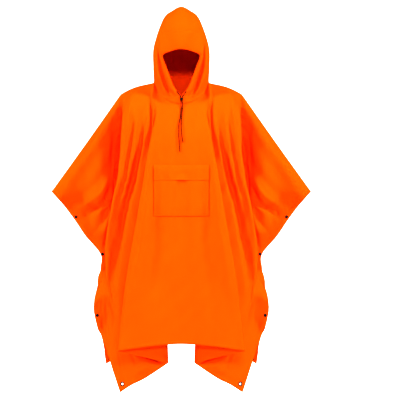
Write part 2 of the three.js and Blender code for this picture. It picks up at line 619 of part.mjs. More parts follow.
// Grommets: a barrel through the corner with a flange on each side
const lipIn = CLOTH / 2 + SEAM;
const lipOut = lipIn + GROMMET.lip;
const ring = [[GROMMET.hole, -lipOut], [GROMMET.flange, -lipOut], [GROMMET.flange, -lipIn],
  [GROMMET.barrel, -lipIn], [GROMMET.barrel, lipIn], [GROMMET.flange, lipIn],
  [GROMMET.flange, lipOut], [GROMMET.hole, lipOut], [GROMMET.hole, -lipOut]];
for (const grommet of grommets) {
  const seat = grommet.centre.clone().addScaledVector(grommet.normal, -CLOTH / 2);
  add(`grommet_${grommet.name}`, stand(lathe(ring, SIDES.grommet), seat, grommet.normal), metal);
}

export default group;
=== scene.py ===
# Rain poncho, worn shape with no wearer. Metres, +Z up, front at -Y.
import json
import math

import bmesh
import bpy
import numpy as np
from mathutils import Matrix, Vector

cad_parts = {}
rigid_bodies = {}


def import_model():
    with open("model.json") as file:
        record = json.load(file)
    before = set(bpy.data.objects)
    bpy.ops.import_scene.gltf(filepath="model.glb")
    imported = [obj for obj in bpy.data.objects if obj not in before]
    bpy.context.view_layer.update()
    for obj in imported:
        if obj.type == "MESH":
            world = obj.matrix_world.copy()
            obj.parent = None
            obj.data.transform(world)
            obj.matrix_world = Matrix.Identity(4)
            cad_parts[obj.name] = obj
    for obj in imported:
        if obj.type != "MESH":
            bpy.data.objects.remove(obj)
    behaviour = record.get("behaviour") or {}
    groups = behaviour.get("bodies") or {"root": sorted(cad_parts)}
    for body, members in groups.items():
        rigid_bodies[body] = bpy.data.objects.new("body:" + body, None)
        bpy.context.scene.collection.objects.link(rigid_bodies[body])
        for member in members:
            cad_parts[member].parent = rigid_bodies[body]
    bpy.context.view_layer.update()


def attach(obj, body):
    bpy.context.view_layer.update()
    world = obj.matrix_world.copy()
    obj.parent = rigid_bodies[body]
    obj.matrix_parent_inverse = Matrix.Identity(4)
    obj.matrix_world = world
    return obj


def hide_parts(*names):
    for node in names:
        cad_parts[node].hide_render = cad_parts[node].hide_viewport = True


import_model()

norm = np.linalg.norm
scene = bpy.context.scene

# The photograph's camera, straight in front and level with the chest
PHOTO_PX = 400
PX_AT_ORIGIN = 0.0039          # metres a pixel covers at the depth of the neck
CAMERA_DISTANCE = 3.683
CAMERA_HEIGHT = -0.4524
MIDDLE_PX = 181.3              # where the object's middle plane shows
SIDES = (("left", -1), ("right", 1))
SENSOR = 36.0
FLOOR = -1.46                  # under the feet of a wearer of usual height

# Cloth sizes. Levels are shares of a panel's length, from the shoulder line down.
SHELL = 0.0008                 # thickness of the shown cloth
CLOTH = 0.0015                 # wall of the frame's cloth solids
SEAM = 0.0003                  # gap between solids at a seam
STACK = 0.0009                 # lift of a piece that lies on another
NECK_GAP = 0.0009              # hood over the panels at the neck seam
PANEL_WIDTH = 1.40
PANEL_LENGTH = 1.065
FOLD_LOOP = 0.038              # how far the turn of a pleat swings round
FOLD_LEVELS = (0.02, 0.16)     # where the pleats begin to turn back, and are turned
TUCK_DEPTH = 0.8               # depth of the cloth behind a pleat, as a share of its width
EDGE_DEPTH = 0.25              # how much of the side part's depth its edge keeps
SHOULDER_BEND = 0.12           # how far down the bend at the shoulder point reaches
SNAP_INSET = 0.013             # from the side edge
SNAP_LEVELS = (0.136, 0.341, 0.727)
SNAP_GAP = 0.0042              # between the two cloths
SNAP_FLAT = (0.055, 0.100)     # radii inside which the cloth is flat, and past which it is free
GROMMET_INSET = 0.021          # from side and bottom edge
GROMMET_FLAT = (0.056, 0.078)
GROMMET_HOLE = 0.006

# Fold lines of one half of the front panel, from the middle to the side edge, in millimetres.
# Columns: share of the panel's length, out from the middle, depth, height.
FRONT_LINES = [
    ("middle", (
        (0, 0, -95, -86), (0.056, 0, -118, -139), (0.122, 0, -136, -197), (0.32, 0, -162, -374),
        (0.526, 0, -172, -557), (0.71, 0, -178, -723), (1, 0, -190, -985))),
    ("ridge", (
        (0, 85, -46, -42), (0.056, 92, -82, -90), (0.122, 104, -114, -158), (0.32, 140, -166, -363),
        (0.526, 174, -186, -556), (0.71, 207, -200, -744), (0.855, 224, -208, -879),
        (1, 237, -215, -1007))),
    ("tuck", (
        (0, 107, 0, 4), (0.056, 113, -50, -41), (0.122, 110, -95, -107), (0.32, 94, -132, -347),
        (0.526, 79, -142, -565), (0.71, 64, -148, -771), (0.855, 54, -150, -920),
        (1, 48, -150, -1062))),
    ("crest", (
        (0, 187, 0, -16), (0.056, 196, -52, -49), (0.122, 213, -98, -103), (0.32, 232, -118, -313),
        (0.526, 274, -105, -543), (0.62, 290, -94, -665), (0.71, 276, -92, -787),
        (0.855, 214, -106, -963), (1, 147, -125, -1130))),
    ("armpit", (
        (0, 236, 0, -41), (0.056, 237, -38, -78), (0.122, 236, -55, -137), (0.22, 228, -38, -232),
        (0.42, 222, -10, -472), (0.526, 247, -16, -618), (0.62, 274, -46, -738),
        (0.71, 278, -66, -846), (0.855, 240, -85, -1012), (1, 191, -112, -1154))),
    ("sleeve", (
        (0, 372, 0, -234), (0.056, 357, -38, -259), (0.122, 330, -62, -318), (0.22, 303, -62, -414),
        (0.42, 252, -30, -602), (0.526, 270, -26, -700), (0.62, 296, -36, -784),
        (0.71, 302, -50, -866), (0.855, 262, -72, -1026), (1, 212, -106, -1168))),
    ("edge", (
        (0, 505, 0, -419), (0.056, 476, -26, -449), (0.122, 424, -3, -517), (0.22, 372, 0, -593),
        (0.32, 315, 0, -663), (0.42, 315, 12, -718), (0.526, 324, -6, -776), (0.62, 336, 2, -834),
        (0.71, 337, -25, -892), (0.855, 284, -60, -1039), (1, 233, -100, -1183))),
]
BACK_LINES = [
    ("middle", (
        (0, 0, 78, 35), (0.122, 0, 122, -90), (0.32, 0, 140, -285), (0.526, 0, 150, -490),
        (0.71, 0, 162, -690), (1, 0, 190, -1000))),
    ("ridge", (
        (0, 60, 62, 30), (0.122, 92, 112, -95), (0.32, 120, 144, -290), (0.526, 150, 160, -500),
        (0.71, 180, 176, -705), (1, 215, 202, -1015))),
    ("tuck", (
        (0, 107, 0, 4), (0.056, 110, 45, -30), (0.122, 106, 82, -95), (0.32, 100, 112, -300),
        (0.526, 96, 124, -510), (0.71, 94, 132, -725), (1, 92, 148, -1045))),
    ("crest", (
        (0, 187, 0, -16), (0.056, 196, 48, -45), (0.122, 210, 78, -105), (0.32, 228, 92, -330),
        (0.526, 256, 88, -560), (0.71, 254, 96, -790), (1, 222, 166, -1080))),
    ("armpit", (
        (0, 236, 0, -41), (0.056, 238, 34, -80), (0.122, 238, 46, -140), (0.32, 228, 26, -350),
        (0.526, 249, 24, -620), (0.62, 274, 34, -738), (0.71, 278, 30, -850), (1, 250, 106, -1100))),
    ("sleeve", (
        (0, 372, 0, -234), (0.056, 357, 34, -259), (0.122, 332, 52, -320), (0.22, 305, 46, -414),
        (0.42, 252, 34, -602), (0.526, 270, 34, -700), (0.62, 296, 30, -784), (0.71, 302, -2, -866),
        (0.855, 302, 72, -1010), (1, 284, 162, -1106))),
    ("edge", (
        (0, 505, 0, -419), (0.056, 476, 28, -449), (0.122, 424, 3, -517), (0.22, 372, 6, -593),
        (0.32, 315, 6, -663), (0.42, 315, 20, -718), (0.526, 324, 4, -776), (0.62, 336, 11, -834),
        (0.71, 337, -19, -892), (0.855, 311, 55, -1010), (1, 304, 150, -1119))),
]
TURNING = ("ridge", "tuck")    # fold lines where a pleat turns back
LAST = len(FRONT_LINES) - 1

# Arches of one half of the hood, from the face opening to the nape, in millimetres.
# Columns: place, then [out, depth, height] for chin, cheek, temple, brow, crown and top.
HOOD_ARCHES = (
    (0, (0.6, -90, -57), (29, -91, -18), (57, -94, 57), (69, -99, 96), (40, -127, 108), (0, -140, 114)),
    (0.08, (14, -91, -60), (40, -90, -24), (68.5, -93, 54), (79, -97, 102), (42, -129, 121),
     (0, -141, 127)),
    (0.2, (40, -76, -58), (56, -62, -18), (78, -66, 60), (84, -90, 135), (45, -125, 155),
     (0, -137, 160)),
    (0.3, (62, -70, -40), (76, -72, 5), (92, -75, 80), (85, -92, 172), (46, -118, 187), (0, -127, 192)),
    (0.5, (98, -36, 5), (104, -38, 50), (104, -38, 140), (69, -28, 247), (34, -24, 279), (0, -20, 295)),
    (0.7, (106, 12, 34), (105, 22, 78), (99, 32, 150), (58, 48, 241), (32, 55, 262), (0, 58, 271)),
    (0.85, (92, 55, 48), (88, 76, 85), (78, 92, 135), (48, 106, 178), (26, 113, 186), (0, 118, 189)),
)
NAPE = (0.86, 0.873, 0.888, 0.904, 0.925, 0.963, 1)   # where each column ends on the neck seam
CROWN_SEAM = 4
VISOR_SEAM = 0.291
HEM_ARCH = 0.08
SEAM_SHARE = 0.004
TOP = 6


# Curves and surfaces, the same as the frame's solids are made from
def smoothstep(x, low, high):
    t = np.clip((x - low) / (high - low), 0, 1)
    return t * t * (3 - 2 * t)


def hermite(a, b, leave, arrive, t):
    return (a * (2 * t**3 - 3 * t**2 + 1) + leave * (t**3 - 2 * t**2 + t)
            + b * (3 * t**2 - 2 * t**3) + arrive * (t**3 - t**2))


def cubic_through(knots, values, at, start=None):
    """Smooth curve through rows of values at knots, read at places; start is the slope at the first."""
    knots = np.asarray(knots, float)
    values = np.asarray(values, float)
    gaps = np.diff(knots)[:, None]
    chords = np.diff(values, axis=0) / gaps
    slopes = np.empty_like(values)
    slopes[0] = chords[0] if start is None else start
    slopes[-1] = chords[-1]
    slopes[1:-1] = (chords[:-1] * gaps[1:] + chords[1:] * gaps[:-1]) / (gaps[:-1] + gaps[1:])
    at = np.asarray(at, float)
    i = np.clip(np.searchsorted(knots, at, side="left") - 1, 0, len(knots) - 2)
    h = gaps[i]
    t = ((at - knots[i]) / h[:, 0])[:, None]
    return hermite(values[i], values[i + 1], slopes[i] * h, slopes[i + 1] * h, t)


def fold_line(rows, facing, downs):
    """Points down a fold line. One that starts on the shoulder line leaves it square to the cloth."""
    table = np.array(rows, float)
    points = table[:, 1:] / 1000
    start = None
    if table[0, 2] == 0:
        points[0, 1] = facing * SEAM / 2
        chord = norm((table[1, 1:] - table[0, 1:]) / 1000) / table[1, 0]
        start = (0, facing * chord, 0)
    return cubic_through(table[:, 0], points, downs, start)


class Panel:
    """A panel's outer surface: across runs from -6 to 6 and down from 0 at the shoulder to 1 at the hem."""

    def __init__(self, lines, facing):
        self.lines = lines
        self.facing = facing
        self.flats = []

    def tangent(self, folds, i, downs, length, direction):
        """Direction across the panel at a fold line, as its next (1) or its last (-1) stretch sees it."""
        name = self.lines[i][0]
        zero = np.zeros_like(length)
        if i == 0:
            return np.stack([length, zero, zero], 1)
        if i == LAST:
            return (folds[LAST] - folds[LAST - 1]) * (1, EDGE_DEPTH, 1)
        into = folds[i] - folds[i - 1]
        out = folds[i + 1] - folds[i]
        before = norm(into, axis=1)[:, None]
        after = norm(out, axis=1)[:, None]
        smooth = (into * after / before + out * before / after) * length[:, None] / (before + after)
        if name == "armpit" and direction > 0:
            smooth = smooth + (out - smooth) * (1 - smoothstep(downs, 0, SHOULDER_BEND))[:, None]
        if name not in TURNING:
            return smooth
        if name == "tuck":
            smooth = out
            if direction < 0:
                smooth = np.stack([zero, -self.facing * length * TUCK_DEPTH, zero], 1)
        turned = smoothstep(downs, *FOLD_LEVELS)[:, None]
        return smooth * (1 - turned) + np.array((0, -self.facing * FOLD_LOOP, 0)) * turned

    def points(self, across, downs):
        """Grid of points, one row for each place across and one column for each place down."""
        downs = np.asarray(downs, float)
        folds = [fold_line(rows, self.facing, downs) for _, rows in self.lines]
        grid = np.empty((len(across), len(downs), 3))
        for k, u in enumerate(across):
            place = min(abs(u), LAST - 1e-9)
            i = int(place)
            length = norm(folds[i + 1] - folds[i], axis=1)
            leave = self.tangent(folds, i, downs, length, 1)
            arrive = self.tangent(folds, i + 1, downs, length, -1)
            grid[k] = hermite(folds[i], folds[i + 1], leave, arrive, place - i)
            if u < 0:
                grid[k, :, 0] *= -1
        for centre, normal, (inner, outer) in self.flats:
            away = norm(grid - centre, axis=2)
            share = 1 - smoothstep(away, inner, outer)
            grid -= (share * ((grid - centre) @ normal))[..., None] * normal
        return grid

    def point(self, u, v):
        return self.points([u], [v])[0, 0]

    def normal(self, u, v):
        step = 1e-3
        du = self.point(u + step, v) - self.point(u - step, v)
        dv = self.point(u, v + step) - self.point(u, max(v - step, 0))
        n = np.cross(du, dv) * self.facing
        return n / norm(n)


front = Panel(FRONT_LINES, -1)
back = Panel(BACK_LINES, 1)


def edge_width(panel, v):
    return norm(panel.point(LAST, v) - panel.point(LAST - 1, v))


snaps = []
for side, sign in SIDES:
    for i, level in enumerate(SNAP_LEVELS):
        places = [p.point(sign * (LAST - SNAP_INSET / edge_width(p, level)), level) for p in (front, back)]
        snaps.append((f"{side}_{i + 1}", sum(places) / 2))
for _, middle in snaps:
    for panel in (front, back):
        axis = np.array((0.0, 1.0, 0.0))
        centre = middle + axis * panel.facing * (SNAP_GAP / 2 + CLOTH)
        panel.flats.append((centre, axis, SNAP_FLAT))
grommets = []
for label, panel in (("front", front), ("back", back)):
    for side, sign in SIDES:
        v = 1 - GROMMET_INSET
        u = sign * (LAST - GROMMET_INSET / edge_width(panel, v))
        centre = panel.point(u, v)
        normal = panel.normal(u, v)
        panel.flats.append((centre, normal, GROMMET_FLAT))
        grommets.append((f"{label}_{side}", panel, centre, normal))


def to_px(points):
    """Where points of the object show in the photograph."""
    scale = PX_AT_ORIGIN * (CAMERA_DISTANCE + points[..., 1]) / CAMERA_DISTANCE
    x = MIDDLE_PX + points[..., 0] / scale
    y = PHOTO_PX / 2 - (points[..., 2] - CAMERA_HEIGHT) / scale
    return np.stack([x, y], -1)


# Sheets
TAPER = 0.38                   # share of a crease over which each end dies out
PX_STEP = 1.2                  # along a crease's path, in photograph pixels
PLACE_STEP = 0.02              # along a crease's path, in places across and down
PATH_SMOOTHING = 3             # rounds


class Sheet:
    """A grid of points with its normals, to be folded into creases and made into a thin closed shell."""

    def __init__(self, points, facing):
        self.p = points
        self.facing = facing
        self.s, self.t = flat_coordinates(points)
        self.hold = np.ones(points.shape[:2])   # share of a crease that each place takes
        self.find_normals()

    def find_normals(self):
        du = np.gradient(self.p, axis=0)
        dv = np.gradient(self.p, axis=1)
        n = np.cross(du, dv) * self.facing
        length = norm(n, axis=2, keepdims=True)
        self.n = n / np.maximum(length, 1e-12)

    def lift(self, amount):
        self.p = self.p + self.n * amount[..., None]

    def crease(self, path, height, width, mask, seen=None):
        """A soft ridge (height above 0) or trough along a path of photograph pixels, tapering to its ends.

        Height and width are in millimetres. mask is the cloth that it moves, and seen the cloth that the
        path is drawn on.
        """
        px = to_px(self.p)
        seen = mask if seen is None else seen
        where = np.argwhere(seen)
        candidates = px[seen]
        spine = dense(np.array(path, float), PX_STEP)
        nearest = [where[np.argmin(((candidates - q) ** 2).sum(1))] for q in spine]
        line = smooth_path(np.array([self.p[i, j] for i, j in nearest]))
        self.crease_3d(line, height, width, mask)

    def crease_on(self, path, height, width):
        """A ridge or trough along a path of places across and down the panel."""
        spots = dense(np.array(path, float), PLACE_STEP)
        rows = np.interp(spots[:, 0], self.across, np.arange(len(self.across)))
        columns = np.interp(spots[:, 1], self.downs, np.arange(len(self.downs)))
        line = self.at(rows, columns)[0]
        self.crease_3d(line, height, width, np.ones(self.p.shape[:2], bool))

    def crease_3d(self, line, height, width, mask):
        """A ridge or trough with a round section along a line of points."""
        height, width = height / 1000, width / 1000
        reach = 3 * width
        low = line.min(0) - reach
        high = line.max(0) + reach
        near = mask & ((self.p > low) & (self.p < high)).all(2)
        pts = self.p[near]
        best = np.full(len(pts), np.inf)
        share = np.zeros(len(pts))
        for k, q in enumerate(line):
            d = norm(pts - q, axis=1)
            closer = d < best
            best[closer] = d[closer]
            share[closer] = k / max(len(line) - 1, 1)
        taper = smoothstep(share, 0, TAPER) * smoothstep(1 - share, 0, TAPER)
        lift = np.zeros(self.p.shape[:2])
        lift[near] = height * np.exp(-(best / width) ** 2) * taper
        self.lift(lift * self.hold)

    def at(self, i, j):
        """Point and normal at a fractional grid place."""
        i = np.clip(np.asarray(i, float), 0, self.p.shape[0] - 1.001)
        j = np.clip(np.asarray(j, float), 0, self.p.shape[1] - 1.001)
        a, b = i.astype(int), j.astype(int)
        fa, fb = (i - a)[..., None], (j - b)[..., None]
        return [grid[a, b] * (1 - fa) * (1 - fb) + grid[a + 1, b] * fa * (1 - fb)
                + grid[a, b + 1] * (1 - fa) * fb + grid[a + 1, b + 1] * fa * fb for grid in (self.p, self.n)]


def dense(path, step):
    """The path with points at most a step or so apart."""
    out = [path[0]]
    for a, b in zip(path[:-1], path[1:]):
        count = max(1, int(norm(b - a) / step))
        out += [a + (b - a) * (k + 1) / count for k in range(count)]
    return np.array(out)


def lengths_along(line):
    return np.concatenate([[0], np.cumsum(norm(np.diff(line, axis=0), axis=1))])


def smooth_path(line):
    for _ in range(PATH_SMOOTHING):
        line[1:-1] = (line[:-2] + 2 * line[1:-1] + line[2:]) / 4
    return line


def mirrored(path):
    return [(2 * MIDDLE_PX - x, y) for x, y in path]


def add_object(name, data):
    obj = bpy.data.objects.new(name, data)
    scene.collection.objects.link(obj)
    return obj


def object_from(name, bm, smooth=True):
    """The object of a bmesh, its faces turned outward."""
    bmesh.ops.recalc_face_normals(bm, faces=bm.faces)
    mesh = bpy.data.meshes.new(name)
    bm.to_mesh(mesh)
    bm.free()
    if smooth:
        mesh.shade_smooth()
    return add_object(name, mesh)


def object_of_faces(name, verts, faces, smooth=True):
    rough = bpy.data.meshes.new("rough")
    rough.from_pydata(verts, [], faces)
    bm = bmesh.new()
    bm.from_mesh(rough)
    bpy.data.meshes.remove(rough)
    return object_from(name, bm, smooth)


def shell_object(name, sheet, holes=()):
    """A closed thin shell from a sheet, outer face first, with the flat cloth's own coordinates as UVs."""
    nu, nv = sheet.p.shape[:2]
    outer = sheet.p.reshape(-1, 3)
    inner = (sheet.p - sheet.n * SHELL).reshape(-1, 3)
    keep = np.ones((nu - 1, nv - 1), bool)
    for centre, radius in holes:
        mid = (sheet.p[:-1, :-1] + sheet.p[1:, 1:]) / 2
        keep &= norm(mid - centre, axis=2) > radius
    i, j = np.nonzero(keep)
    a = i * nv + j
    quads = np.stack([a, a + nv, a + nv + 1, a + 1], 1)
    if sheet.facing < 0:
        quads = quads[:, ::-1]
    count = nu * nv
    faces = [quads, quads[:, ::-1] + count]
    edges = np.concatenate([np.stack([quads[:, k], quads[:, (k + 1) % 4]], 1) for k in range(4)])
    code = edges[:, 0].astype(np.int64) * count + edges[:, 1]
    back_code = edges[:, 1].astype(np.int64) * count + edges[:, 0]
    rim = edges[~np.isin(code, back_code)]
    faces.append(np.stack([rim[:, 1], rim[:, 0], rim[:, 0] + count, rim[:, 1] + count], 1))
    faces = np.concatenate(faces)
    used = np.unique(faces)
    renumber = np.zeros(2 * count, int)
    renumber[used] = np.arange(len(used))
    verts = np.concatenate([outer, inner])[used]
    mesh = bpy.data.meshes.new(name)
    mesh.vertices.add(len(verts))
    mesh.vertices.foreach_set("co", verts.ravel())
    mesh.loops.add(faces.size)
    mesh.loops.foreach_set("vertex_index", renumber[faces].ravel())
    mesh.polygons.add(len(faces))
    mesh.polygons.foreach_set("loop_start", np.arange(0, faces.size, 4))
    mesh.update(calc_edges=True)
    uv = np.stack([np.tile(sheet.s.ravel(), 2), np.tile(sheet.t.ravel(), 2)], 1)
    layer = mesh.uv_layers.new(name="flat")
    layer.data.foreach_set("uv", uv[faces.ravel()].ravel())
    mesh.shade_smooth()
    return add_object(name, mesh)


def cloth_piece(name, sheet, nodes, flat, held="draped", holes=(), **facts):
    """A sheet's shell in place of the frame's nodes; flat, the size that it was cut to, is not used."""
    obj = shell_object(name, sheet, holes)
    finish_piece(obj, cloth, "cloth", *nodes)


def flat_coordinates(points):
    """The flat cloth's coordinates of a grid: lengths along its rows and columns."""
    ds = norm(np.diff(points, axis=0), axis=2)
    dt = norm(np.diff(points, axis=1), axis=2)
    s = np.concatenate([np.zeros((1, points.shape[1])), np.cumsum(ds, 0)])
    s -= s[len(s) // 2]
    t = np.concatenate([np.zeros((points.shape[0], 1)), np.cumsum(dt, 1)], 1)
    return s, t


# Materials
WEAVE_PITCH = 0.0005
ORANGE = (0.93, 0.118, 0.002)
ORANGE_DEEP = (0.90, 0.098, 0.0015)
CLOTH_ROUGHNESS = (0.50, 0.62)


def new_material(name):
    material = bpy.data.materials.new(name)
    material.use_nodes = True
    return material, material.node_tree, material.node_tree.nodes["Principled BSDF"]


def connect(tree, socket, value):
    """Sets an input, or links it where the value is another node's output."""
    if isinstance(value, bpy.types.NodeSocket):
        tree.links.new(value, socket)
    else:
        socket.default_value = value


def feed(tree, node, **values):
    """Connects a node's inputs by name, with underscores for spaces."""
    for name, value in values.items():
        connect(tree, node.inputs[name.replace("_", " ")], value)


def add_node(tree, kind, **values):
    node = tree.nodes.new("ShaderNode" + kind)
    feed(tree, node, **values)
    return node


def add_noise(tree, vector, scale, detail):
    return add_node(tree, "TexNoise", Vector=vector, Scale=scale, Detail=detail).outputs["Fac"]


def add_range(tree, value, low, high):
    return add_node(tree, "MapRange", Value=value, To_Min=low, To_Max=high).outputs["Result"]


def maths(tree, operation, a, b=0.0):
    node = add_node(tree, "Math")
    node.operation = operation
    connect(tree, node.inputs[0], a)
    connect(tree, node.inputs[1], b)
    return node.outputs[0]


def mix_colours(tree, colour_a, colour_b, share):
    mix = add_node(tree, "Mix")
    mix.data_type = "RGBA"
    feed(tree, mix, A=(*colour_a, 1), B=(*colour_b, 1), Factor=share)
    return mix.outputs["Result"]


def bump_chain(tree, layers):
    """Bump nodes one after another: (height socket, distance in metres, strength)."""
    before = {}
    for height, distance, strength in layers:
        bump = add_node(tree, "Bump", Height=height, Distance=distance, Strength=strength, **before)
        before = {"Normal": bump.outputs["Normal"]}
    return bump.outputs["Normal"]


def cloth_material(name):
    """Coated plain-weave taffeta, matt: fine warp and weft, small puckers, slow drifts of colour."""
    material, tree, bsdf = new_material(name)
    flat = add_node(tree, "UVMap")
    flat.uv_map = "flat"
    place = add_node(tree, "TexCoord").outputs["Object"]
    split = add_node(tree, "SeparateXYZ")
    connect(tree, split.inputs[0], flat.outputs["UV"])
    turns = 2 * math.pi / WEAVE_PITCH
    warp, weft = [maths(tree, "SINE", maths(tree, "MULTIPLY", split.outputs[axis], turns)) for axis in "XY"]
    weave = maths(tree, "MULTIPLY", warp, weft)
    pucker = add_noise(tree, place, 95.0, 3.0)
    drift = add_noise(tree, place, 6.0, 2.0)
    slub = add_noise(tree, flat.outputs["UV"], 420.0, 1.0)
    share = maths(tree, "ADD", maths(tree, "MULTIPLY", drift, 0.7), maths(tree, "MULTIPLY", slub, 0.3))
    feed(tree, bsdf, Base_Color=mix_colours(tree, ORANGE, ORANGE_DEEP, share), Specular_IOR_Level=0.0,
         Roughness=add_range(tree, pucker, *CLOTH_ROUGHNESS),
         Normal=bump_chain(tree, [(pucker, 0.0012, 0.35), (weave, 0.00005, 0.5)]))
    return material


def plain_material(name, colour, roughness, metallic, grain, depth, gloss=0.5):
    """A small part's material: mottled a little, with a grain of the given closeness and depth."""
    material, tree, bsdf = new_material(name)
    place = add_node(tree, "TexCoord").outputs["Object"]
    noise = add_noise(tree, place, grain, 4.0)
    lighter = [c * 1.7 + 0.001 for c in colour]
    feed(tree, bsdf, Base_Color=mix_colours(tree, colour, lighter, noise), Metallic=metallic,
         Specular_IOR_Level=gloss, Roughness=add_range(tree, noise, roughness - 0.1, roughness + 0.1),
         Normal=bump_chain(tree, [(noise, depth, 0.4)]))
    return material


cloth = cloth_material("coated_taffeta")
thread = plain_material("orange_thread", (0.75, 0.12, 0.01), 0.6, 0.0, 2500.0, 0.0001)
cordage = plain_material("black_braid", (0.002, 0.002, 0.002), 0.85, 0.0, 1800.0, 0.0002, 0.1)
plastic = plain_material("black_plastic", (0.006, 0.006, 0.006), 0.5, 0.0, 700.0, 0.00005, 0.25)
nickel = plain_material("dark_nickel", (0.05, 0.025, 0.01), 0.55, 0.6, 500.0, 0.00005, gloss=0.2)


def finish_piece(obj, material, slot_name, *nodes):
    """Gives a piece its material and body, and hides the frame's nodes that it stands for; slot_name is not
    used.
    """
    obj.data.materials.clear()
    obj.data.materials.append(material)
    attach(obj, "root")
    if nodes:
        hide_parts(*nodes)


# Camera
camera_data = bpy.data.cameras.new("camera")
camera_data.sensor_width = SENSOR
camera_data.lens = SENSOR * CAMERA_DISTANCE / (PHOTO_PX * PX_AT_ORIGIN)
camera_data.shift_x = (PHOTO_PX / 2 - MIDDLE_PX) / PHOTO_PX
camera = add_object("camera", camera_data)
camera.location = (0, -CAMERA_DISTANCE, CAMERA_HEIGHT)
camera.rotation_euler = (math.radians(90), 0, 0)
scene.camera = camera

# Drawcords. The routes repeat the frame's, in millimetres.
CORD_RADIUS = 0.00155
CORD_POINTS = 90
# Rings that round off a tube's ends: how far past the end, and how wide, as shares of the radius
ROUND_END = ((0.35, 0.9), (0.8, 0.55))
LEFT_CORD = (
    (-17.5, -95.9, -39.5), (-10.5, -97.6, -48.5), (-3.6, -98.6, -58), (-1.3, -98.6, -63.5),
    (-1.3, -98.6, -74.5), (-1.1, -100, -82), (-0.9, -102.6, -92), (-1.6, -113.5, -118),
    (-3.8, -124, -143), (-8, -129.5, -160), (-9.5, -141, -196), (-9, -146.5, -223),
    (-7, -151, -249), (-5.5, -154.5, -272))
RIGHT_CORD = (
    (18.5, -95.9, -39.5), (12.5, -97.6, -48.5), (6, -98.6, -58), (3.5, -98.6, -63.5),
    (3.5, -98.6, -74.5), (3.6, -100, -82), (4.1, -102.6, -92), (2.8, -116, -124),
    (-0.2, -129, -159), (0.9, -138, -186), (1.6, -142.5, -204), (5.3, -149, -236))


def tube(name, path, radius, sides=10):
    """A closed tube along a path, with rounded ends."""
    path = np.asarray(path, float)
    tangents = np.gradient(path, axis=0)
    tangents /= norm(tangents, axis=1)[:, None]
    side = np.cross(tangents[0], (0, 0.3, 1.0))
    bm = bmesh.new()
    rings = []
    stations = [(0, -past, size) for past, size in reversed(ROUND_END)]
    stations += [(k, 0, 1) for k in range(len(path))]
    stations += [(len(path) - 1, past, size) for past, size in ROUND_END]
    for k, along, size in stations:
        side = side - tangents[k] * side.dot(tangents[k])
        side /= norm(side)
        other = np.cross(tangents[k], side)
        centre = path[k] + tangents[k] * along * radius
        rings.append([bm.verts.new(centre + radius * size * (math.cos(turn) * side + math.sin(turn) * other))
                      for turn in 2 * math.pi * np.arange(sides) / sides])
    for a, b in zip(rings[:-1], rings[1:]):
        for m in range(sides):
            bm.faces.new((a[m], a[(m + 1) % sides], b[(m + 1) % sides], b[m]))
    bm.faces.new(rings[0][::-1])
    bm.faces.new(rings[-1])
    return object_from(name, bm)


def ring_tube(name, loop, radius, sides=8):
    """A closed tube round a closed loop."""
    count = len(loop)
    tangents = np.roll(loop, -1, 0) - np.roll(loop, 1, 0)
    tangents /= norm(tangents, axis=1)[:, None]
    side = np.cross(tangents, (0, 0, 1.0))
    side /= norm(side, axis=1)[:, None]
    other = np.cross(tangents, side)
    turn = 2 * math.pi * np.arange(sides) / sides
    verts = loop[:, None] + radius * (np.cos(turn)[None, :, None] * side[:, None]
                                      + np.sin(turn)[None, :, None] * other[:, None])
    faces = [(k * sides + m, k * sides + (m + 1) % sides, (k + 1) % count * sides + (m + 1) % sides,
              (k + 1) % count * sides + m) for k in range(count) for m in range(sides)]
    return object_of_faces(name, verts.reshape(-1, 3).tolist(), faces)


for label, route in (("left", LEFT_CORD), ("right", RIGHT_CORD)):
    route = np.array(route) / 1000
    knots = lengths_along(route)
    fine = cubic_through(knots, route, np.linspace(0, knots[-1], CORD_POINTS))
    length = float(lengths_along(fine)[-1])
    cord = tube(f"drawcord_{label}_braid", fine, CORD_RADIUS)
    finish_piece(cord, cordage, "cord", f"drawcord_{label}")

# Panels
FINE_ACROSS = 256
FINE_DOWN = 186
DOWN_POWER = 1.08              # rows lie a little closer together at the shoulder
SPACING_LEVELS = (0.2, 0.55, 0.95)
# Places across a half, and how close together the columns lie there
CLOSENESS = ((0, 0.9, 1.1, 1.9, 2.1, 4.6, 6), (0.8, 0.8, 0.5, 0.5, 1.5, 1.5, 0.9))


def panel_places(count):
    """Places across a panel, spaced along its cloth, closer together where it is creased."""
    rough = np.linspace(-LAST, LAST, 1201)
    closeness = np.interp(np.abs((rough[1:] + rough[:-1]) / 2), *CLOSENESS)
    lengths = []
    for level in SPACING_LEVELS:
        line = front.points(rough, [level])[:, 0]
        steps = norm(np.diff(line, axis=0), axis=1) * closeness
        lengths.append(np.concatenate([[0], np.cumsum(steps)]))
    total = sum(length / length[-1] for length in lengths) / len(lengths)
    return np.interp(np.linspace(0, 1, count), total, rough)


def panel_sheet(panel):
    across = panel_places(FINE_ACROSS)
    downs = np.linspace(0, 1, FINE_DOWN) ** DOWN_POWER
    sheet = Sheet(panel.points(across, downs), panel.facing)
    sheet.across = across
    sheet.downs = downs
    sheet.u = np.repeat(across[:, None], FINE_DOWN, 1)
    return sheet


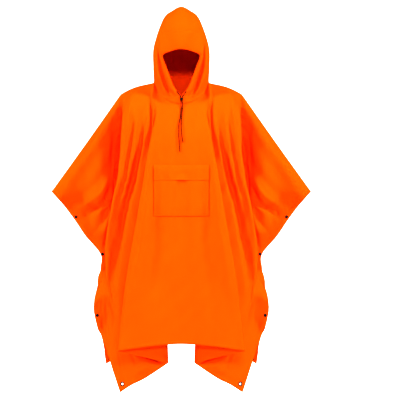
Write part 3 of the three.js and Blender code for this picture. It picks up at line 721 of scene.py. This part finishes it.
# Creases of the left half of the front: zone, height and width in millimetres, path in photograph pixels
FRONT_CREASES = (
    # the arm's ridge and the slack cloth under it
    ("arm", 15, 25, ((121, 104), (94, 147.5), (84, 161), (58, 194))),
    ("arm", -6, 18, ((117, 145), (108, 168), (94, 186), (68, 208))),
    ("arm", 9, 9, ((68, 203), (83, 205), (93, 200), (101, 193), (112, 172))),
    ("arm", -18, 10, ((70, 212), (84, 214), (98, 208), (107, 199), (116, 178))),
    ("arm", -22, 19, ((90, 240), (97, 229), (105, 215), (115, 184))),
    # the deep crease down from the shoulder point to the armpit, and on along the chest fold
    ("arm", -18, 17, ((120.5, 92), (117, 125), (115, 155), (111, 190))),
    ("arm", -30, 6.5, ((121.8, 84), (119.8, 112), (119.2, 136), (117.8, 152), (116, 182))),
    ("arm", -22, 6, ((118.8, 134), (116.6, 167), (115, 187), (110.5, 215), (101, 262))),
    # the chest fold's ridge and the creases that run down between it and the apron
    ("chest", 14, 10, ((127, 104), (124, 150), (120.5, 177), (112.5, 215), (103, 264))),
    ("chest", -24, 12, ((145, 100), (140.5, 146), (134, 175), (125.5, 204), (116, 255), (109, 320))),
    ("chest", 8, 7, ((139, 108), (134, 146), (129, 175), (117, 222))),
    ("chest", -9, 6, ((135, 106), (130, 146), (125, 175), (115, 215))),
    ("chest", 8, 6, ((150.5, 98), (147, 126), (143, 152), (134, 190))),
    ("chest", -9, 6, ((156, 90), (153.5, 112), (151.7, 127), (147, 158))),
    ("chest", 6, 7, ((131.5, 96), (128.5, 118), (127, 145))),
    # the apron's own soft waves
    ("apron", 9, 15, ((156, 108), (150, 152), (143.5, 215), (137, 259), (131, 300), (125, 335))),
    ("apron", -9, 26, ((164, 112), (161, 165), (157, 225), (153, 290), (149, 335))),
    ("apron", 4, 16, ((172, 112), (172, 150), (171, 200), (170, 260), (168, 320))),
    # the lower side, between the snaps
    ("chest", -9, 14, ((119, 215), (113, 255), (108, 300), (108, 335))),
    ("arm", 5, 16, ((101, 262), (99, 285), (99, 305))),
    ("arm", -5, 12, ((98, 312), (104, 324), (110, 342))),
    ("chest", 6, 10, ((126, 372), (140, 371), (152, 368))),
    ("chest", -22, 5, ((129, 351.5), (138, 355.7), (150, 360), (168, 366))),
    ("chest", -5, 9, ((110, 350), (118, 362), (124, 378))),
)
# Creases of the left half of the back: height and width in millimetres, path in places across and down
BACK_CREASES = (
    (-14, 9, ((-4.0, 0.02), (-4.05, 0.14), (-4.0, 0.26), (-3.9, 0.38))),
    (9, 14, ((-3.3, 0.04), (-3.35, 0.2), (-3.3, 0.4), (-3.1, 0.6))),
    (-9, 10, ((-2.6, 0.04), (-2.6, 0.25), (-2.7, 0.5), (-2.8, 0.8))),
    (9, 22, ((-4.5, 0.03), (-5.0, 0.1), (-5.4, 0.16))),
    (-8, 12, ((-5.6, 0.3), (-5.0, 0.3), (-4.5, 0.27), (-4.1, 0.2))),
    (6, 10, ((-5.7, 0.26), (-5.1, 0.26), (-4.6, 0.22))),
    (6, 18, ((-0.8, 0.06), (-0.8, 0.3), (-0.75, 0.6), (-0.8, 0.9))),
    (-5, 20, ((-0.4, 0.04), (-0.42, 0.3), (-0.4, 0.7))),
    (-7, 12, ((-3.6, 0.5), (-3.5, 0.7), (-3.4, 0.9))),
    (6, 11, ((-4.4, 0.6), (-4.3, 0.75), (-4.5, 0.9))),
)


WAVES = 26
WAVE_SIZES = (0.05, 0.22)
WAVE_LEAN = 0.5
WAVE_REACHES = (0.12, 0.35)
PANEL_WAVE = 0.0028            # height of the tallest wave
HOOD_WAVE = 0.0012


def wrinkles(sheet, amplitude, seed):
    """Soft shallow waves of several sizes, run along the cloth's hang."""
    local = np.random.default_rng(seed)
    total = np.zeros(sheet.s.shape)
    for _ in range(WAVES):
        size = local.uniform(*WAVE_SIZES)
        lean = local.normal(0, WAVE_LEAN)
        phase = local.uniform(0, 2 * math.pi)
        where_s, where_t = local.uniform(-0.7, 0.7), local.uniform(0, 1.1)
        reach = local.uniform(*WAVE_REACHES)
        local_s = sheet.s - where_s
        local_t = sheet.t - where_t
        window = np.exp(-(local_s**2 + local_t**2) / (2 * reach**2))
        total += window * np.sin(2 * math.pi * (local_s + lean * local_t) / size + phase)
    return amplitude * total / max(np.abs(total).max(), 1e-9)


# Creases and waves fade in between these distances from the shoulder line, a snap and a grommet
SHOULDER_FADE = (0.0, 0.03)
SNAP_FADE = (0.014, 0.045)
GROMMET_FADE = (0.02, 0.05)
HEM_RISE = 0.0006
HEM_STEP = (0.0102, 0.0132)    # from the edge, where the doubled hem ends


def edge_fade(sheet):
    """0 at the shoulder line and neck, at snaps and at grommets, 1 away from them."""
    fade = smoothstep(sheet.t, *SHOULDER_FADE)
    for _, middle in snaps:
        fade = fade * smoothstep(norm(sheet.p - middle, axis=2), *SNAP_FADE)
    for _, _, centre, _ in grommets:
        fade = fade * smoothstep(norm(sheet.p - centre, axis=2), *GROMMET_FADE)
    return fade


def hem_band(sheet):
    """The folded hem stands a little proud along the side and bottom edges."""
    to_side = np.minimum(sheet.s - sheet.s[:1], sheet.s[-1:] - sheet.s)
    to_hem = sheet.t[:, -1:] - sheet.t
    return HEM_RISE * (1 - smoothstep(np.minimum(to_side, to_hem), *HEM_STEP))


front_sheet = panel_sheet(front)
back_sheet = panel_sheet(back)
FRONT_MIRROR = 0.92            # height of a crease on the right half, as a share of the left one's
BACK_MIRROR = 0.85
# Places across that each zone's creases move, and the ones that show there in the photograph
ZONES = {"apron": ((0, 0.97), (0, 0.97)), "chest": ((2.05, 6), (2.05, 3.1)), "arm": ((2.05, 6), (3.3, 6))}
for sheet, seed in ((front_sheet, 11), (back_sheet, 23)):
    sheet.hold = edge_fade(sheet)
    sheet.lift(wrinkles(sheet, PANEL_WAVE, seed) * sheet.hold)
    sheet.find_normals()
for zone, height, width, path in FRONT_CREASES:
    for half, gain in ((path, 1.0), (mirrored(path), FRONT_MIRROR)):
        sign = -1 if half is path else 1
        across = front_sheet.u * sign
        moved, seen = [(across > low) & (across <= high) for low, high in ZONES[zone]]
        front_sheet.crease(half, gain * height, width, moved, seen)
    front_sheet.find_normals()
for height, width, path in BACK_CREASES:
    for sign, gain in ((1, 1.0), (-1, BACK_MIRROR)):
        back_sheet.crease_on([(sign * u, v) for u, v in path], gain * height, width)
    back_sheet.find_normals()
for sheet in (front_sheet, back_sheet):
    sheet.lift(hem_band(sheet))
    sheet.find_normals()

holes = {"front": [], "back": []}
for name, _, centre, _ in grommets:
    holes[name.split("_")[0]].append((centre, GROMMET_HOLE))
PANEL_NODES = {"front": ("front_panel",), "back": ("back_panel_left", "back_panel_right")}
for label, sheet in (("front", front_sheet), ("back", back_sheet)):
    cloth_piece(f"{label}_cloth", sheet, PANEL_NODES[label], (PANEL_WIDTH, PANEL_LENGTH), holes=holes[label])


# Hood
def neck_seam(turn):
    """The seam's place at a share of the way round its left half, from the front to the nape."""
    u = 4 * turn if turn < 0.5 else 4 * (1 - turn)
    p = (front if turn < 0.5 else back).point(u, 0)
    return p + (0, 0, NECK_GAP)


def hood_points(ats, alongs, sign):
    """Points of one half of the hood: ats from face to nape, alongs from the neck seam up to the top."""
    ats = np.asarray(ats, float)
    alongs = np.asarray(alongs, float)
    knots = [arch[0] for arch in HOOD_ARCHES] + [1]
    columns = [np.array([neck_seam(NAPE[0] * at) for at in ats])]
    for c in range(1, TOP + 1):
        places = [np.array(arch[c]) / 1000 for arch in HOOD_ARCHES] + [neck_seam(NAPE[c])]
        columns.append(cubic_through(knots, places, ats))
    beyond = columns[TOP - 1] * (-1, 1, 1)
    grid = np.empty((len(ats), len(alongs), 3))
    for k in range(len(ats)):
        values = [column[k] for column in columns] + [beyond[k]]
        grid[k] = cubic_through(range(TOP + 2), values, alongs)
    low = np.where(alongs < CROWN_SEAM, SEAM, -1)[None, :]
    grid[..., 0] = np.maximum(grid[..., 0], low)
    grid[..., 0] *= sign
    return grid


def hood_sheet(ats, alongs, sign):
    return Sheet(hood_points(ats, alongs, sign), -sign)


# Creases of the hood's left half, in photograph pixels: height and width in millimetres
HOOD_CREASES = (
    (-8, 8, ((161.5, 64), (164, 75), (166.5, 86), (168.5, 99))),
    (6, 5, ((161.5, 74), (163.5, 84), (165, 95))),
    (4, 4, ((168.5, 78), (170.5, 88), (171.5, 98))),
    (-6, 4.5, ((170, 84), (173, 93), (175.5, 101))),
    (4, 4, ((173.5, 89), (176, 96), (178.5, 102))),
    (-3, 8, ((157.5, 58), (158, 74), (160, 90))),
)
HOOD_FRONT = 0.2               # cloth with a smaller normal Y than this faces the camera
CREASE_FADE = (0.012, 0.015)   # from the face opening and from the neck seam
CROWN_CREASES = (
    (-2.5, 6, ((168, 39), (181, 38), (194, 39))),
    (2.5, 6, ((170, 34.5), (182, 34), (193, 34.6))),
)
CROWN_FRONT = 0.1
FINE_ARCHES = np.linspace(0, 1, 120)
FINE_RISE = np.linspace(0, CROWN_SEAM - SEAM_SHARE, 110)
EDGE_FADE = (0, 0.02)


def hood_wave(sheet, seed):
    """Slack cloth of the hood: soft waves that die out at its edges."""
    edge = np.minimum(sheet.t - sheet.t[:, :1], sheet.t[:, -1:] - sheet.t)
    rim = np.minimum(sheet.s - sheet.s[:1], sheet.s[-1:] - sheet.s)
    return wrinkles(sheet, HOOD_WAVE, seed) * smoothstep(edge, *EDGE_FADE) * smoothstep(rim, *EDGE_FADE)


hood_sheets = {}
for side, sign in SIDES:
    sheet = hood_sheet(FINE_ARCHES, FINE_RISE, sign)
    sheet.lift(hood_wave(sheet, 31 + sign))
    facing_us = sheet.n[..., 1] < HOOD_FRONT
    keep = smoothstep(sheet.s - sheet.s[:1], 0, CREASE_FADE[0]) * smoothstep(sheet.t, 0, CREASE_FADE[1])
    for height, width, path in HOOD_CREASES:
        before = sheet.p.copy()
        sheet.crease(path if sign < 0 else mirrored(path), height, width, facing_us)
        sheet.p = before + (sheet.p - before) * keep[..., None]
    sheet.find_normals()
    hood_sheets[side] = sheet
    cloth_piece(f"hood_{side}_cloth", sheet, [f"hood_side_{side}"], (0.25, 0.34), "gathered", area=0.068)

TOP_COLUMNS = 30
CROWN_ROWS = 110
VISOR_ROWS = 40
VISOR_GAP = 0.002              # share of the arches left free on either side of the visor's seam
VISOR_TUCK = 0.006             # share by which the visor's last row reaches under the crown
TUCK_DROP = 0.0012


def across_top(ats):
    """The top of the hood from side seam to side seam."""
    alongs = np.linspace(CROWN_SEAM + SEAM_SHARE, TOP, TOP_COLUMNS)
    left = hood_points(ats, alongs, -1)
    right = hood_points(ats, alongs, 1)
    return Sheet(np.concatenate([left, right[:, -2::-1]], 1), 1)


crown = across_top(np.linspace(VISOR_SEAM + VISOR_GAP, 1, CROWN_ROWS))
for height, width, path in CROWN_CREASES:
    crown.crease(path, height, width, crown.n[..., 1] < CROWN_FRONT)
crown.find_normals()
cloth_piece("hood_crown_cloth", crown, ["hood_crown"], (0.17, 0.47), area=0.062)
visor = across_top(np.append(np.linspace(0, VISOR_SEAM - VISOR_GAP, VISOR_ROWS), VISOR_SEAM + VISOR_TUCK))
tucked = np.zeros(visor.p.shape[:2])
tucked[-1] = -TUCK_DROP
visor.lift(tucked)
cloth_piece("hood_visor_cloth", visor, ["hood_visor"], (0.19, 0.09))

# Drawcord tunnels at the face opening
TUNNEL = (1.33, 3.663)         # from near the chin to below the brow, along the arch
TUNNEL_BULGE = 0.0022
TUNNEL_COLUMNS = 14
TUNNEL_ROWS = 90
for side, sign in SIDES:
    sheet = hood_sheet(np.linspace(0, HEM_ARCH, TUNNEL_COLUMNS), np.linspace(*TUNNEL, TUNNEL_ROWS), sign)
    bulge = np.sin(np.linspace(0, math.pi, TUNNEL_COLUMNS))[:, None] * np.ones((1, TUNNEL_ROWS))
    sheet.lift(STACK + TUNNEL_BULGE * bulge)
    cloth_piece(f"face_hem_{side}_cloth", sheet, [f"face_hem_{side}"], (0.014, 0.16), "gathered")

# Felled seam where hood and panels meet
NECK_SEAM_RADIUS = 0.0013
NECK_SEAM_POINTS = 90          # on each half
half_seam = np.array([neck_seam(turn) for turn in np.linspace(0, 1, NECK_SEAM_POINTS)])
loop = np.concatenate([half_seam, (half_seam * (-1, 1, 1))[-2:0:-1]])
loop[:, 2] -= NECK_GAP / 2
finish_piece(ring_tube("neck_seam", loop, NECK_SEAM_RADIUS), cloth, "cloth")

# Chest pocket and flap, on the front panel's own points
POCKET_HALF = 0.104
POCKET_TOP, POCKET_BOTTOM = -0.341, -0.513
FLAP_TOP, FLAP_BOTTOM = -0.322, -0.380
FLAP_PAST = 0.0005             # how far the flap reaches past the pocket on either side
POCKET_PUFF = 0.0012           # slack of the pocket's middle
POCKET_PRESS = 0.0007          # how far its sewn edge is drawn down
FLAP_GAPE = 0.006              # how far the flap's lower edge stands off, near its middle
POCKET_GRID = (90, 76)         # points across and down
FLAP_GRID = (90, 30)


def on_apron(xs, zs):
    """Points and normals of the front cloth over a grid of x and z."""
    strips = np.concatenate([front_sheet.p, front_sheet.n], 2)[np.abs(front_sheet.u[:, 0]) <= 1, ::-1]
    out = np.empty((len(xs), len(zs), 6))
    for b, z in enumerate(zs):
        line = np.array([[np.interp(z, strip[:, 2], column) for column in strip.T] for strip in strips])
        for k in range(6):
            out[:, b, k] = np.interp(xs, line[:, 0], line[:, k])
    normals = out[..., 3:]
    return out[..., :3], normals / norm(normals, axis=2, keepdims=True)


def patch_sheet(half, top, bottom, grid, lift):
    """A piece that lies on the apron; lift is how far it stands off at a share out and a share down."""
    xs = np.linspace(-half, half, grid[0])
    zs = np.linspace(top, bottom, grid[1])
    p, n = on_apron(xs, zs)
    return Sheet(p + n * lift(xs[:, None] / half, (zs[None, :] - top) / (bottom - top))[..., None], -1)


def pocket_lift(x, down):
    """Slack over most of the pocket, drawn down along its sewn sides and bottom."""
    rim = np.minimum(1 - np.abs(x), 1 - down)
    puff = POCKET_PUFF * smoothstep(rim, 0.0, 0.25)
    return STACK + CLOTH + puff - POCKET_PRESS * (1 - smoothstep(rim, 0, 0.03))


def flap_lift(x, down):
    """Sewn down at its top, over the pocket's mouth, and gaping at its lower edge."""
    base = STACK + CLOTH * 0.7 + (STACK + CLOTH) * smoothstep(down, 0.0, 0.28)
    return base + FLAP_GAPE * smoothstep(down, 0.5, 1.0) * np.exp(-((x - 0.02) / 0.16) ** 2)


pocket = patch_sheet(POCKET_HALF, POCKET_TOP, POCKET_BOTTOM, POCKET_GRID, pocket_lift)
cloth_piece("chest_pocket_cloth", pocket, ["chest_pocket"], (0.208, 0.172), rests_on=["front_cloth"])
flap = patch_sheet(POCKET_HALF + FLAP_PAST, FLAP_TOP, FLAP_BOTTOM, FLAP_GRID, flap_lift)
cloth_piece("pocket_flap_cloth", flap, ["pocket_flap"], (0.209, 0.058), rests_on=["chest_pocket_cloth"])

# Stitches: short raised spindles of thread along a line on a sheet
STITCH_LENGTH = 0.0029
STITCH_STEP = 0.0038
STITCH_RADIUS = 0.00033
STITCH_RISE = 0.4              # of the radius, out of the cloth
# How far in from the edge each line of stitches runs
HEM_INSET = 0.010
POCKET_INSET = 0.0035
SEAM_INSET = 0.004
FLAP_HEM_INSET = 0.007
VISOR_INSETS = (0.003, 0.011)
OUTER_EDGES = ("low_s", "high_s", "high_t")


def edge_line(sheet, edge, inset):
    """Grid places a given distance in from an edge of a sheet: low_s, high_s, low_t or high_t."""
    across = edge.endswith("_s")
    places = []
    for k, line in enumerate(sheet.s.T if across else sheet.t):
        goal = line[0] + inset if edge.startswith("low") else line[-1] - inset
        place = np.interp(goal, line, np.arange(len(line)))
        places.append((place, k) if across else (k, place))
    return np.array(places)


def read_along(stops, along, values):
    return np.stack([np.interp(stops, along, values[:, k]) for k in range(3)], 1)


def stitches(name, runs):
    """One mesh of stitches along several lines; each run is (sheet, edge, inset)."""
    verts = []
    faces = []
    for sheet, edge, inset in runs:
        p, n = sheet.at(*edge_line(sheet, edge, inset).T)
        along = lengths_along(p)
        count = max(2, int(along[-1] / STITCH_STEP))
        stops = (np.arange(count) + 0.5) * along[-1] / count
        ahead = read_along(stops + 0.001, along, p) - read_along(stops - 0.001, along, p)
        ahead /= np.maximum(norm(ahead, axis=1), 1e-9)[:, None]
        normals = read_along(stops, along, n)
        sides = np.cross(normals, ahead)
        sides /= np.maximum(norm(sides, axis=1), 1e-9)[:, None]
        for spot, forward, normal, side in zip(read_along(stops, along, p), ahead, normals, sides):
            base = len(verts)
            c = spot + normal * STITCH_RADIUS * STITCH_RISE
            for end in (-1, 1):
                verts.append(c + forward * end * STITCH_LENGTH / 2 - normal * STITCH_RADIUS)
            for turn in range(4):
                angle = math.pi / 2 * turn
                verts.append(c + STITCH_RADIUS * (math.cos(angle) * side + math.sin(angle) * normal))
                a, b = base + 2 + turn, base + 2 + (turn + 1) % 4
                faces += [(base, a, b), (base + 1, b, a)]
    finish_piece(object_of_faces(name, verts, faces, smooth=False), thread, "cloth")


for label, sheet in (("front", front_sheet), ("back", back_sheet)):
    stitches(f"{label}_hem_stitches", [(sheet, edge, HEM_INSET) for edge in OUTER_EDGES])
stitches("pocket_stitches", [(pocket, edge, POCKET_INSET) for edge in OUTER_EDGES])
stitches("flap_stitches", [(flap, "low_t", SEAM_INSET), (flap, "high_t", FLAP_HEM_INSET),
                           (flap, "low_s", SEAM_INSET), (flap, "high_s", SEAM_INSET)])
stitches("hood_stitches",
         [(sheet, "high_t", SEAM_INSET) for sheet in hood_sheets.values()]
         + [(crown, edge, SEAM_INSET) for edge in ("low_t", "high_t")]
         + [(visor, "low_s", inset) for inset in VISOR_INSETS])


# Snap caps and grommets, turned pieces on the frame's own places
def turned(name, profile, place, axis, sides=32):
    """A turned solid: profile of (radius, height) in millimetres along the axis at a place."""
    turn = Vector((0, 0, 1)).rotation_difference(Vector(axis).normalized()).to_matrix()
    bm = bmesh.new()
    rings = []
    for radius, height in profile:
        angles = 2 * math.pi * np.arange(sides) / sides if radius else [0]
        spots = [Vector((math.cos(a) * radius, math.sin(a) * radius, height)) / 1000 for a in angles]
        rings.append([bm.verts.new(turn @ spot + Vector(place)) for spot in spots])
    for a, b in zip(rings, rings[1:] + rings[:1]):
        if len(a) == len(b) == 1:
            continue
        for k in range(sides):
            m = (k + 1) % sides
            corners = (a[k % len(a)], a[m % len(a)], b[m % len(b)], b[k % len(b)])
            bm.faces.new(tuple(dict.fromkeys(corners)))   # a ring on the axis is a single point
    return object_from(name, bm)


# Profiles: radius and height in millimetres
CAP_PROFILE = ((0, 0), (5.7, 0), (6, 0.25), (6, 0.8), (5.6, 1.2), (4.9, 1.35), (4.5, 1.2), (4.1, 1.35),
               (3.4, 1.9), (2.2, 2.25), (1.2, 2.38), (0, 2.4))
for name, middle in snaps:
    for label, facing in (("front", -1), ("back", 1)):
        seat = middle + np.array((0, facing * (SNAP_GAP / 2 + CLOTH + SEAM), 0))
        cap = turned(f"snap_{name}_{label}_cap", CAP_PROFILE, seat, (0, facing, 0))
        finish_piece(cap, plastic, "plastic", f"snap_{name}_{label}")
RING_FACE = ((4.75, 0.9), (4.95, 1.9), (5.6, 2.25), (6.9, 2.05), (8.3, 1.75), (9, 1.25), (8.7, 1.05),
             (5.7, 1.05))
RING_PROFILE = tuple((radius, -height) for radius, height in RING_FACE) + RING_FACE[::-1]
for name, _, centre, normal in grommets:
    ring = turned(f"grommet_{name}_ring", RING_PROFILE, centre - normal * CLOTH / 2, normal)
    finish_piece(ring, nickel, "grommet", f"grommet_{name}")

# CAD nodes that keep their shape
for obj in bpy.data.objects:
    if obj.type == "MESH" and (obj.name.endswith("_stud") or obj.name == "cord_lock"):
        for slot in obj.material_slots:
            slot.material = plastic

# Floor, light and colour
FLOOR_SIZE = 14
FLOOR_GLOW = 0.85              # as the camera sees it
BACKDROP = 1.1
SKY = 0.04                     # what lights the object from all round
bpy.ops.mesh.primitive_plane_add(size=FLOOR_SIZE, location=(0, 2, FLOOR))
floor = bpy.context.object
floor.name = "floor"


def two_levels(tree, lighting, camera):
    """A strength that is low where it lights the object and white where the camera sees it."""
    return add_range(tree, add_node(tree, "LightPath").outputs["Is Camera Ray"], lighting, camera)


floor_material, tree, floor_bsdf = new_material("pale_floor")
feed(tree, floor_bsdf, Base_Color=(0.8, 0.8, 0.8, 1), Roughness=0.9, Emission_Color=(1, 1, 1, 1),
     Emission_Strength=two_levels(tree, 0, FLOOR_GLOW))
floor.data.materials.append(floor_material)
world = bpy.data.worlds.new("studio")
world.use_nodes = True
tree = world.node_tree
feed(tree, tree.nodes["Background"], Color=(1, 1, 1, 1), Strength=two_levels(tree, SKY, BACKDROP))
scene.world = world

# Area lights. Columns: place, height of what it is turned to, width, height, watts.
LIGHTS = {
    "key": ((0.3, -4.3, 1.35), -0.5, 1.1, 0.8, 103),
    "softbox_left": ((-3.6, -1.4, 2.2), -0.45, 0.6, 0.9, 180),
    "softbox_right": ((3.6, -1.4, 2.2), -0.45, 0.6, 0.9, 195),
    "rim": ((-1.4, 4.0, 1.6), -0.5, 1.0, 0.8, 90),
}
for name, (place, target, width, height, power) in LIGHTS.items():
    data = bpy.data.lights.new(name, "AREA")
    data.shape = "RECTANGLE"
    data.size = width
    data.size_y = height
    data.energy = power
    light = add_object(name, data)
    light.location = place
    light.rotation_euler = (Vector((0, 0, target)) - Vector(place)).to_track_quat("-Z", "Y").to_euler()
scene.view_settings.view_transform = "Standard"
scene.view_settings.look = "Very High Contrast"
